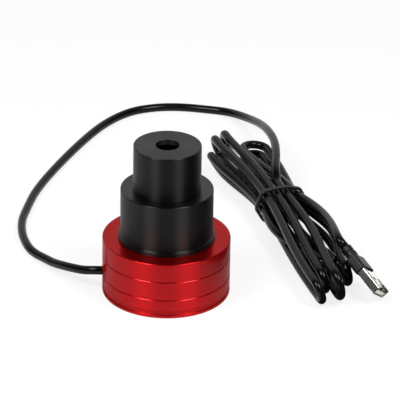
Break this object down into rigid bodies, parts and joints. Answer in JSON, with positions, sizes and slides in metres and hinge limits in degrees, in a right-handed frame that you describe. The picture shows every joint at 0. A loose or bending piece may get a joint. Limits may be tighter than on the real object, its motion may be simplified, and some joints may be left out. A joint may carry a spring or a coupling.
{
  "type": "guide camera",
  "caption": "Round telescope guide camera with a push-in nosepiece, stepped front barrel, grooved body and a fixed USB cord tied in a hank.",
  "frame": {"origin": "centre of the camera's base, on the surface it stands on", "axes": "+Z along the light path towards the nosepiece's open end, -X towards the cord's exit"},
  "size_m": [0.1787, 0.2312, 0.075],
  "materials": {
    "black_anodised": "satin",
    "red_anodised": "satin",
    "rubber": "matte",
    "window_glass": "polished",
    "screw_steel": "satin",
    "brass_parts": "satin",
    "board_green": "gloss",
    "bright_steel": "satin",
    "chip_black": "matte",
    "sensor_ceramic": "matte",
    "die_silicon": "polished",
    "capacitor_tan": "matte",
    "housing_white": "matte",
    "lead_red": "satin",
    "lead_white": "satin",
    "lead_green": "satin",
    "lead_black": "satin",
    "strap_white": "satin",
    "cord_black": "satin",
    "tie_black": "matte",
    "plug_black": "matte",
    "plug_plate": "polished",
    "tongue_white": "matte",
    "contact_gold": "polished"
  },
  "bodies": {
    "body": {"camera_body": "red_anodised", "back_cover": "red_anodised", "back_cover_screws": "screw_steel", "board_standoffs": "brass_parts", "sensor_board": "board_green", "board_screws": "bright_steel", "sensor_package": "sensor_ceramic", "sensor_die": "die_silicon", "sensor_glass": "window_glass", "image_processor": "chip_black", "memory_chip": "chip_black", "crystal_can": "bright_steel", "regulator_chips": "chip_black", "capacitors": "capacitor_tan", "cord_socket": "housing_white", "cord_housing": "housing_white", "lead_red": "lead_red", "lead_white": "lead_white", "lead_green": "lead_green", "lead_black": "lead_black", "cord_grommet": "rubber", "strain_tie": "strap_white", "cord_tail": "cord_black", "cord_lead": "cord_black", "cord_hank": "cord_black", "cord_tie": "tie_black", "plug_boot": "plug_black", "plug_grip": "plug_black", "plug_shell": "plug_plate", "plug_tongue": "tongue_white", "plug_contacts": "contact_gold"},
    "barrel_seal": {"barrel_o_ring": "rubber"},
    "front_barrel": {"barrel": "black_anodised", "window_gasket": "rubber", "window": "window_glass", "window_ring": "black_anodised"},
    "nose_seal": {"nosepiece_o_ring": "rubber"},
    "nose": {"nosepiece": "black_anodised"}
  },
  "joints": [
    {"name": "barrel_rise", "type": "slide", "parent": "body", "child": "barrel_seal", "axis": [0, 0, 1], "range_m": [0, 0.00501]},
    {"name": "barrel_turn", "type": "hinge", "parent": "barrel_seal", "child": "front_barrel", "pos_m": [0, 0, 0.03], "axis": [0, 0, 1], "range_deg": [0, 2400]},
    {"name": "nosepiece_rise", "type": "slide", "parent": "front_barrel", "child": "nose_seal", "axis": [0, 0, 1], "range_m": [0, 0.00551]},
    {"name": "nosepiece_turn", "type": "hinge", "parent": "nose_seal", "child": "nose", "pos_m": [0, 0, 0.06], "axis": [0, 0, 1], "range_deg": [0, 1980]}
  ],
  "couplings": [
    {"joint": "barrel_rise", "follows": "barrel_turn", "m_per_rad": 0.00011937},
    {"joint": "nosepiece_rise", "follows": "nosepiece_turn", "m_per_rad": 0.00015915}
  ]
}
